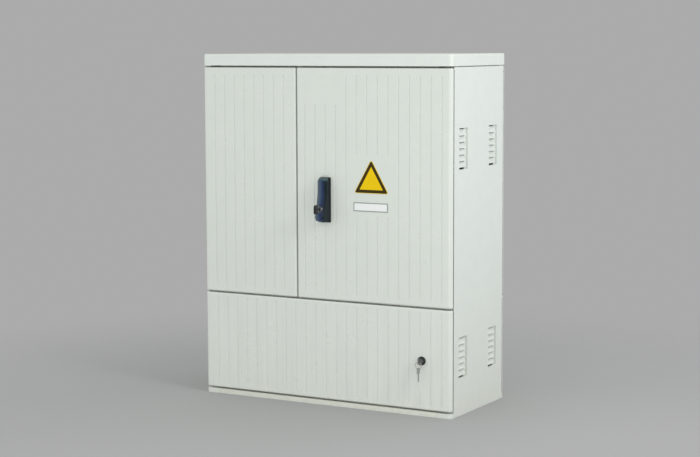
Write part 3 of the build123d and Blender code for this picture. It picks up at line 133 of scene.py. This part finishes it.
def polyester(name, colour, shade, low_dust_and_light, gloss, glow):
    """Pressed glass-fibre polyester: fine satin skin, faint clouds of fibre, and upright streaks of a
    second tone near the ground, dust on the walls and frame and painted light on the doors
    """
    material, tree, shader, place = start_material(name)
    # Fibre and filler lie in clouds that turn the colour and the gloss a little
    clouds = add(tree, "ShaderNodeTexNoise", inputs={
        "Vector": place, "Scale": per_size(55), "Detail": 5.0, "Roughness": 0.6})
    toned = add(tree, "ShaderNodeMix", {"data_type": "RGBA"}, {
        "Factor": clouds.outputs["Fac"], MIX_A: linear(colour), MIX_B: linear(shade)})
    # Over the lower half metre the colour turns in upright streaks towards a second tone: splashed dust on
    # the walls and frame, and on the doors a paler tone that is painted light
    stretched = add(tree, "ShaderNodeMapping", inputs={"Vector": place, "Scale": (1, 1, 0.05)})
    streaks = add(tree, "ShaderNodeTexNoise", inputs={
        "Vector": stretched.outputs["Vector"], "Scale": per_size(22), "Detail": 3.0})
    height = add(tree, "ShaderNodeSeparateXYZ", inputs={"Vector": place}).outputs["Z"]
    low = add(tree, "ShaderNodeMapRange", inputs={
        "Value": height, "From Min": 0.5, "From Max": 0.0, "To Min": 0.0, "To Max": 0.75})
    low_streak_share = add(tree, "ShaderNodeMath", {"operation": "MULTIPLY"}, {
        0: low.outputs["Result"], 1: streaks.outputs["Fac"]})
    low_toned = add(tree, "ShaderNodeMix", {"data_type": "RGBA"}, {
        "Factor": low_streak_share.outputs["Value"], MIX_A: toned.outputs[MIX_RESULT], MIX_B: linear(low_dust_and_light)})
    polish = add(tree, "ShaderNodeMapRange", inputs={
        "Value": clouds.outputs["Fac"], "From Min": 0.3, "From Max": 0.7,
        "To Min": gloss[0], "To Max": gloss[1]})
    # The skin has a fine peel, and shrinks in long, shallow waves over the fibres
    skin = add(tree, "ShaderNodeTexNoise", inputs={"Vector": place, "Scale": per_size(2.2), "Detail": 2.0})
    waves = add(tree, "ShaderNodeTexNoise", inputs={"Vector": place, "Scale": per_size(90), "Detail": 1.0})
    peel = add(tree, "ShaderNodeBump", inputs={
        "Strength": 0.12, "Distance": 0.15 * MM, "Height": skin.outputs["Fac"]})
    ripple = add(tree, "ShaderNodeBump", inputs={
        "Strength": 0.15, "Distance": 0.6 * MM, "Height": waves.outputs["Fac"],
        "Normal": peel.outputs["Normal"]})
    tree.links.new(low_toned.outputs[MIX_RESULT], shader.inputs["Base Color"])
    tree.links.new(polish.outputs["Result"], shader.inputs["Roughness"])
    tree.links.new(ripple.outputs["Normal"], shader.inputs["Normal"])
    shader.inputs["Subsurface Weight"].default_value = glow
    shader.inputs["Subsurface Radius"].default_value = (1, 1, 0.9)
    shader.inputs["Subsurface Scale"].default_value = 5 * MM
    return material


def galvanised_steel():
    """Hot-dip galvanised sheet: zinc crystals a few millimetres wide, each at its own grey and gloss"""
    material, tree, shader, place = start_material("galvanised_steel")
    warp = add(tree, "ShaderNodeTexNoise", inputs={"Vector": place, "Scale": per_size(9), "Detail": 2.0})
    bent = add(tree, "ShaderNodeVectorMath", {"operation": "MULTIPLY_ADD"}, {
        0: warp.outputs["Color"], 1: (0.004, 0.004, 0.004), 2: place})
    spangle = add(tree, "ShaderNodeTexVoronoi", inputs={
        "Vector": bent.outputs["Vector"], "Scale": per_size(11)})
    grey = add(tree, "ShaderNodeSeparateColor", inputs={"Color": spangle.outputs["Color"]})
    tone = add(tree, "ShaderNodeMix", {"data_type": "RGBA"}, {
        "Factor": grey.outputs["Red"], MIX_A: linear("#9EA4A7"), MIX_B: linear("#C3C8CA")})
    polish = add(tree, "ShaderNodeMapRange", inputs={
        "Value": grey.outputs["Green"], "To Min": 0.32, "To Max": 0.5})
    tree.links.new(tone.outputs[MIX_RESULT], shader.inputs["Base Color"])
    tree.links.new(polish.outputs["Result"], shader.inputs["Roughness"])
    shader.inputs["Metallic"].default_value = 1.0
    return material


def turned_metal(name, colour, worn, gloss, grain_mm, depth_mm):
    """Plated or bare metal with fine tool marks and a thin, uneven bloom"""
    material, tree, shader, place = start_material(name)
    bloom = add(tree, "ShaderNodeTexNoise", inputs={
        "Vector": place, "Scale": per_size(14), "Detail": 5.0, "Roughness": 0.65})
    tone = add(tree, "ShaderNodeMix", {"data_type": "RGBA"}, {
        "Factor": bloom.outputs["Fac"], MIX_A: linear(colour), MIX_B: linear(worn)})
    polish = add(tree, "ShaderNodeMapRange", inputs={
        "Value": bloom.outputs["Fac"], "From Min": 0.3, "From Max": 0.7,
        "To Min": gloss[0], "To Max": gloss[1]})
    drawn = add(tree, "ShaderNodeMapping", inputs={"Vector": place, "Scale": (1, 1, 0.08)})
    grain = add(tree, "ShaderNodeTexNoise", inputs={
        "Vector": drawn.outputs["Vector"], "Scale": per_size(grain_mm), "Detail": 2.0})
    marks = add(tree, "ShaderNodeBump", inputs={
        "Strength": 0.2, "Distance": depth_mm * MM, "Height": grain.outputs["Fac"]})
    tree.links.new(tone.outputs[MIX_RESULT], shader.inputs["Base Color"])
    tree.links.new(polish.outputs["Result"], shader.inputs["Roughness"])
    tree.links.new(marks.outputs["Normal"], shader.inputs["Normal"])
    shader.inputs["Metallic"].default_value = 1.0
    return material


def moulded(name, colour, rubbed, gloss, grain_mm, depth_mm, shine=0.5):
    """Moulded plastic, rubber or resin, or a coat of paint: an even grain, slightly rubbed in places"""
    material, tree, shader, place = start_material(name)
    handled = add(tree, "ShaderNodeTexNoise", inputs={
        "Vector": place, "Scale": per_size(18), "Detail": 4.0, "Roughness": 0.6})
    tone = add(tree, "ShaderNodeMix", {"data_type": "RGBA"}, {
        "Factor": handled.outputs["Fac"], MIX_A: linear(colour), MIX_B: linear(rubbed)})
    polish = add(tree, "ShaderNodeMapRange", inputs={
        "Value": handled.outputs["Fac"], "From Min": 0.3, "From Max": 0.7,
        "To Min": gloss[0], "To Max": gloss[1]})
    grain = add(tree, "ShaderNodeTexNoise", inputs={
        "Vector": place, "Scale": per_size(grain_mm), "Detail": 2.0})
    skin = add(tree, "ShaderNodeBump", inputs={
        "Strength": 0.3, "Distance": depth_mm * MM, "Height": grain.outputs["Fac"]})
    tree.links.new(tone.outputs[MIX_RESULT], shader.inputs["Base Color"])
    tree.links.new(polish.outputs["Result"], shader.inputs["Roughness"])
    tree.links.new(skin.outputs["Normal"], shader.inputs["Normal"])
    shader.inputs["Specular IOR Level"].default_value = shine
    return material


def handle_coat_painted_light(name, reflection_and_shade_tones, left, right, crown, top_highlight_height, gloss):
    """Powder coat on the swing handle with painted light: colours from its left edge to its right that
    paint a reflection on the left and shade on the right, and a painted highlight along its top
    """
    material, tree, shader, place = start_material(name)
    parts = add(tree, "ShaderNodeSeparateXYZ", inputs={"Vector": place})
    rubbed = add(tree, "ShaderNodeTexNoise", inputs={
        "Vector": place, "Scale": per_size(16), "Detail": 4.0, "Roughness": 0.6})
    wander = 8 * MM
    uneven = add(tree, "ShaderNodeMath", {"operation": "MULTIPLY_ADD"}, {
        0: rubbed.outputs["Fac"], 1: wander, 2: parts.outputs["X"]})
    share = add(tree, "ShaderNodeMapRange", inputs={
        "Value": uneven.outputs["Value"], "From Min": left + wander / 2, "From Max": right + wander / 2})
    # Painted reflection and shade: lighter colours on the left, near black and teal to the right
    reflection_and_shade_ramp = add(tree, "ShaderNodeValToRGB", inputs={"Fac": share.outputs["Result"]})
    stops = reflection_and_shade_ramp.color_ramp.elements
    while len(stops) < len(reflection_and_shade_tones):
        stops.new(0.5)
    for index, colour in enumerate(reflection_and_shade_tones):
        stops[index].position = index / (len(reflection_and_shade_tones) - 1)
        stops[index].color = linear(colour)
    # Painted highlight along the top, as if lit from above
    top = add(tree, "ShaderNodeMapRange", {"interpolation_type": "SMOOTHSTEP"}, {
        "Value": parts.outputs["Z"], "From Min": top_highlight_height - 5 * MM, "From Max": top_highlight_height + 5 * MM})
    top_highlighted = add(tree, "ShaderNodeMix", {"data_type": "RGBA"}, {
        "Factor": top.outputs["Result"], MIX_A: reflection_and_shade_ramp.outputs["Color"], MIX_B: linear(crown)})
    grain = add(tree, "ShaderNodeTexNoise", inputs={"Vector": place, "Scale": per_size(1), "Detail": 2.0})
    skin = add(tree, "ShaderNodeBump", inputs={
        "Strength": 0.3, "Distance": 0.05 * MM, "Height": grain.outputs["Fac"]})
    polish = add(tree, "ShaderNodeMapRange", inputs={
        "Value": rubbed.outputs["Fac"], "From Min": 0.3, "From Max": 0.7,
        "To Min": gloss[0], "To Max": gloss[1]})
    shader.inputs["Specular IOR Level"].default_value = 0.22
    tree.links.new(top_highlighted.outputs[MIX_RESULT], shader.inputs["Base Color"])
    tree.links.new(polish.outputs["Result"], shader.inputs["Roughness"])
    tree.links.new(skin.outputs["Normal"], shader.inputs["Normal"])
    return material


# Finishes of the frame's material slots; each comment says what the making gives the eye
finishes = {
    # Pressed hot in a polished mould and left out of doors: satin, faintly cloudy
    "moulded_polyester": polyester("light_grey_polyester", "#E0E5E0", "#D8DDD8", "#E4E6DC",
                                   gloss=(0.28, 0.36), glow=0.4),
    # Pressed in a plain mould and kept from the weather: matt and a little warmer
    "frame_polyester": polyester("grey_frame_polyester", "#E6E8E0", "#DDDFD6", "#D8D7CA",
                                 gloss=(0.5, 0.62), glow=0.6),
    # Dipped in molten zinc: grey crystals a few millimetres wide
    "galvanised_sheet": galvanised_steel(),
    # Turned or pressed, then plated in a drum: bright with a milky bloom
    "plated_steel": turned_metal("zinc_plated_steel", "#C9CAC6", "#A9ABA8",
                                 gloss=(0.22, 0.38), grain_mm=0.8, depth_mm=0.05),
    # Foamed in place: dull, with pores just under a millimetre
    "seal_rubber": moulded("foam_rubber", "#1D1F1F", "#2A2C2B",
                           gloss=(0.75, 0.9), grain_mm=0.9, depth_mm=0.2),
    # Injected in a spark-eroded mould: an even, dull grain
    "black_plastic": moulded("glass_filled_nylon", "#15181B", "#212529",
                             gloss=(0.42, 0.56), grain_mm=0.7, depth_mm=0.08),
    # Injected in a polished mould: glossy, dulled by fingers
    "key_plastic": moulded("gloss_black_plastic", "#0D0F11", "#171A1D",
                           gloss=(0.18, 0.3), grain_mm=1.5, depth_mm=0.03),
    # Sprayed as powder and baked; its colours are painted light: a slate painted reflection on the left,
    # painted shade near black to the right and a painted highlight along the top
    "handle_finish": handle_coat_painted_light("slate_coat_painted_light",
                                  ("#4E5B68", "#46556A", "#22345A", "#03161F", "#1E2E30"),
                                  left=-2 * MM, right=35 * MM, crown="#43585E", top_highlight_height=776 * MM,
                                  gloss=(0.36, 0.46)),
    # Polished before it is chromed: the clearest mirror on the cabinet
    "lock_chrome": turned_metal("chromed_brass", "#B9BFC1", "#9CA3A6",
                                gloss=(0.2, 0.32), grain_mm=1.2, depth_mm=0.01),
    # Pressed from filled resin: brick red with a soft gloss
    "insulator_resin": moulded("red_polyester_resin", "#7E2A1A", "#8F3A26",
                               gloss=(0.25, 0.4), grain_mm=1.2, depth_mm=0.05),
    # Drawn bar without a coat: fine lengthwise lines under brown tarnish
    "copper": turned_metal("bare_copper", "#C27F5A", "#8C5A41",
                           gloss=(0.24, 0.42), grain_mm=0.8, depth_mm=0.04),
}

# Sign plates: sheet with screen-printed enamel, dull on the triangle and glossier on the label
sign_yellow = moulded("yellow_sign_enamel", "#ECC600", "#E3BE02",
                      gloss=(0.5, 0.6), grain_mm=2.0, depth_mm=0.02, shine=0.15)
sign_dark = moulded("dark_sign_enamel", "#352A02", "#3F3208",
                    gloss=(0.5, 0.6), grain_mm=2.0, depth_mm=0.02, shine=0.2)
label_white = moulded("white_label_enamel", "#EDEFEE", "#E4E7E6",
                      gloss=(0.3, 0.4), grain_mm=2.0, depth_mm=0.02)
label_grey = moulded("grey_label_enamel", "#88948E", "#909C96",
                     gloss=(0.3, 0.4), grain_mm=2.0, depth_mm=0.02)

# The doors come from another press than the walls and are a shade greyer
# Their paler low tone is painted light, lifting the lower half metre of the doors
door_polyester = polyester("door_grey_polyester", "#DADFD8", "#D2D8D1", "#EDEFE8",
                           gloss=(0.26, 0.34), glow=0.12)

for subpart in frame["record"]["subparts"]:
    node_object = frame["nodes"][subpart["node"]]
    node_object.data.materials.clear()
    slot = subpart["material_slot"]
    of_door = slot == "moulded_polyester" and subpart["node"].endswith("_door")
    node_object.data.materials.append(door_polyester if of_door else finishes[slot])


def finished_piece(name, bm, materials, body):
    """Turns a bmesh into an object that rides on a body"""
    bmesh.ops.recalc_face_normals(bm, faces=bm.faces)
    mesh = bpy.data.meshes.new(name)
    bm.to_mesh(mesh)
    bm.free()
    piece = bpy.data.objects.new(name, mesh)
    scene.collection.objects.link(piece)
    for material in materials:
        mesh.materials.append(material)
    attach(piece, body)
    return piece


def rounded_outline(bm, corners, corner, y):
    """A flat upright face with rounded corners"""
    known = set(bm.faces)
    flat = bm.faces.new([bm.verts.new((x, y, z)) for x, z in corners])
    bmesh.ops.bevel(bm, geom=flat.verts[:], offset=corner, offset_type="OFFSET", affect="VERTICES",
                    segments=5, profile=0.5, material=-1)
    return next(face for face in bm.faces if face not in known)


def sign_plate(name, bands, materials, body):
    """A thin plate with printed bands from its rim inwards, the last one being the bare field

    Each band is given as its corners, the cut at each corner and the number of its colour.
    """
    bm = bmesh.new()
    outline, corner, colour = bands[0]
    back = rounded_outline(bm, outline, corner, door_front)
    back.material_index = colour
    edges = back.edges[:]
    for outline, corner, next_colour in bands:
        field = rounded_outline(bm, outline, corner, door_front - plate_thickness)
        inner = field.edges[:]
        ring = bmesh.ops.bridge_loops(bm, edges=edges + inner)
        for part in ring["faces"]:
            part.material_index = colour
        if outline is not bands[-1][0]:
            bmesh.ops.delete(bm, geom=[field], context="FACES_ONLY")
        else:
            field.material_index = next_colour
        edges, colour = inner, next_colour
    return finished_piece(name, bm, materials, body)


def regular_triangle(centre, side):
    """Corners of an upright triangle with equal sides about its centre"""
    x, z = centre
    rise = side * sin(pi / 3)
    return [(x - side / 2, z - rise / 3), (x + side / 2, z - rise / 3), (x, z + rise * 2 / 3)]


def rectangle(centre, size):
    """Corners of an upright rectangle"""
    x, z = centre
    half_x, half_z = size[0] / 2, size[1] / 2
    return [(x - half_x, z - half_z), (x + half_x, z - half_z), (x + half_x, z + half_z),
            (x - half_x, z + half_z)]


def within(centre, side, inset):
    """The triangle whose sides lie inset from the sides of another"""
    return regular_triangle(centre, side - 2 * sqrt(3) * inset)


sign_plate("triangle_plate", [
    (within(triangle_centre, triangle_side, 0), triangle_corner, 0),
    (within(triangle_centre, triangle_side, triangle_rim), triangle_corner - 2 * triangle_rim, 1),
    (within(triangle_centre, triangle_side, triangle_rim + triangle_border), triangle_field_corner, 0)],
    (sign_yellow, sign_dark), "right_door")
sign_plate("label_plate", [
    (rectangle(label_centre, label_size), label_corner, 1),
    (rectangle(label_centre, [length - 2 * label_border for length in label_size]), label_field_corner, 0)],
    (label_white, label_grey), "right_door")


def button_head(radius, height):
    """Button-head screw with a round socket, seated on the ground plane and rising along Z"""
    bm = bmesh.new()
    bmesh.ops.create_circle(bm, cap_ends=True, segments=18, radius=radius)
    grown = bmesh.ops.extrude_face_region(bm, geom=bm.faces[:])
    top_verts = [part for part in grown["geom"] if isinstance(part, bmesh.types.BMVert)]
    bmesh.ops.translate(bm, verts=top_verts, vec=(0, 0, height))
    rim = [edge for edge in bm.edges if all(vert in top_verts for vert in edge.verts)]
    bmesh.ops.bevel(bm, geom=rim, offset=height * screw_edge, offset_type="OFFSET", affect="EDGES",
                    segments=3, profile=0.5, material=-1)
    crown = max(bm.faces, key=lambda face: (round(face.calc_center_median().z, 7), face.calc_area()))
    bmesh.ops.inset_region(bm, faces=[crown], thickness=radius * socket_wall, use_even_offset=True)
    sunk = bmesh.ops.extrude_face_region(bm, geom=[crown])
    sunk_verts = [part for part in sunk["geom"] if isinstance(part, bmesh.types.BMVert)]
    bmesh.ops.translate(bm, verts=sunk_verts, vec=(0, 0, -height * socket_depth))
    bmesh.ops.delete(bm, geom=[crown], context="FACES_ONLY")
    bmesh.ops.recalc_face_normals(bm, faces=bm.faces)
    mesh = bpy.data.meshes.new("button_head")
    bm.to_mesh(mesh)
    bm.free()
    return mesh


screw_template = button_head(screw_radius, screw_height)


def small_screws(name, places, face_y, facing, body):
    """Screws on an upright face that looks to the back where facing is 1, to the front where it is -1"""
    bm = bmesh.new()
    for x, z in places:
        already = len(bm.verts)
        bm.from_mesh(screw_template)
        turned = Matrix.Translation((x, face_y, z)) @ Matrix.Rotation(-facing * pi / 2, 4, "X")
        bmesh.ops.transform(bm, matrix=turned, verts=bm.verts[already:])
    return finished_piece(name, bm, (finishes["plated_steel"],), body)


def beside(heights):
    """Heights of the two screws at each hinge"""
    return [height + rise for height in heights for rise in (-screw_rise, screw_rise)]


small_screws("right_leaf_screws", [(door_screw_x, z) for z in beside(upper_hinges)],
             door_leaf_back, 1, "right_door")
small_screws("left_leaf_screws", [(-door_screw_x, z) for z in beside(upper_hinges)],
             door_leaf_back, 1, "left_door")
small_screws("lower_leaf_screws", [(-door_screw_x, z) for z in beside(lower_hinges)],
             door_leaf_back, 1, "lower_door")
frame_places = [(side * frame_screw_x, z) for side in (-1, 1) for z in beside(upper_hinges)]
frame_places += [(-frame_screw_x, z) for z in beside(lower_hinges)]
frame_places += [(x + side * rod_keeper_reach, z) for x, z in zip(rod_keepers_x, keeper_heights)
                 for side in (-1, 1)]
frame_places += [(x, z) for x in bolt_keeper_screws_x for z in keeper_heights]
small_screws("frame_leaf_screws", frame_places, frame_leaf_front, -1, "cabinet")


def studio_floor():
    """A plain grey floor that fades into the backdrop and keeps the cabinet's shadow"""
    bm = bmesh.new()
    bmesh.ops.create_circle(bm, cap_ends=True, segments=64, radius=floor_radius)
    mesh = bpy.data.meshes.new("floor")
    bm.to_mesh(mesh)
    bm.free()
    floor = bpy.data.objects.new("floor", mesh)
    scene.collection.objects.link(floor)
    material, tree, shader, place = start_material("studio_floor_paint")
    distance = add(tree, "ShaderNodeVectorMath", {"operation": "LENGTH"}, {0: place})
    fade = add(tree, "ShaderNodeMapRange", {"interpolation_type": "SMOOTHSTEP"}, {
        "Value": distance.outputs["Value"], "From Min": floor_fade[0], "From Max": floor_fade[1]})
    clear = add(tree, "ShaderNodeBsdfTransparent")
    mixed = add(tree, "ShaderNodeMixShader", inputs={
        "Fac": fade.outputs["Result"], 1: shader.outputs["BSDF"], 2: clear.outputs["BSDF"]})
    tree.links.new(mixed.outputs["Shader"], tree.nodes["Material Output"].inputs["Surface"])
    shader.inputs["Base Color"].default_value = linear("#ABABAB")
    shader.inputs["Roughness"].default_value = 0.9
    shader.inputs["Specular IOR Level"].default_value = 0.0
    mesh.materials.append(material)


def studio_world(backdrop, light_colour, light_strength):
    """The camera and mirror-like rays see the plain backdrop; the rest is even studio light"""
    world = bpy.data.worlds.new("studio")
    scene.world = world
    world.use_nodes = True
    tree = world.node_tree
    tree.nodes.clear()
    path = add(tree, "ShaderNodeLightPath")
    seen = add(tree, "ShaderNodeMath", {"operation": "MAXIMUM"}, {
        0: path.outputs["Is Camera Ray"], 1: path.outputs["Is Glossy Ray"]})
    shown = add(tree, "ShaderNodeMath", {"operation": "MAXIMUM"}, {
        0: seen.outputs["Value"], 1: path.outputs["Is Transmission Ray"]})
    light = add(tree, "ShaderNodeBackground", inputs={
        "Color": linear(light_colour), "Strength": light_strength})
    plain = add(tree, "ShaderNodeBackground", inputs={"Color": linear(backdrop), "Strength": 1.0})
    mixed = add(tree, "ShaderNodeMixShader", inputs={
        "Fac": shown.outputs["Value"], 1: light.outputs["Background"], 2: plain.outputs["Background"]})
    add(tree, "ShaderNodeOutputWorld", inputs={"Surface": mixed.outputs["Shader"]})


def soft_lamp(name, place, target, size, power):
    """A white soft box, wide and tall as given, aimed at a point of the cabinet"""
    data = bpy.data.lights.new(name, "AREA")
    data.shape = "RECTANGLE"
    data.size, data.size_y = size
    data.energy = power
    lamp = bpy.data.objects.new(name, data)
    lamp.location = place
    lamp.rotation_euler = (Vector(target) - Vector(place)).to_track_quat("-Z", "Y").to_euler()
    scene.collection.objects.link(lamp)


def studio_camera():
    """The photograph's viewpoint"""
    data = bpy.data.cameras.new("camera")
    data.sensor_width = sensor_width
    data.lens = focal_length_px * sensor_width / picture_width
    camera = bpy.data.objects.new("camera", data)
    aim = Euler((radians(90 - camera_down), 0, radians(camera_turn))).to_matrix()
    camera.rotation_euler = (aim @ Matrix.Rotation(radians(camera_roll), 3, "Z")).to_euler()
    camera.location = camera_place
    scene.collection.objects.link(camera)
    scene.camera = camera


studio_floor()
studio_world("#ABABAB", "#F6F8F7", light_strength=0.91)
soft_lamp("side_lamp", place=(3.1, -0.75, 2.8), target=(0.48, 0, 0.9), size=(1.4, 1.4), power=21.5)
soft_lamp("edge_lamp", place=(2.3, -1, 1.7), target=(0.48, -0.2, 1.15), size=(0.4, 0.4), power=9)
soft_lamp("low_lamp", place=(0.35, -2.6, 0.4), target=(0, -0.2, 0.3), size=(1.6, 0.6), power=11)
studio_camera()

scene.view_settings.view_transform = "Standard"
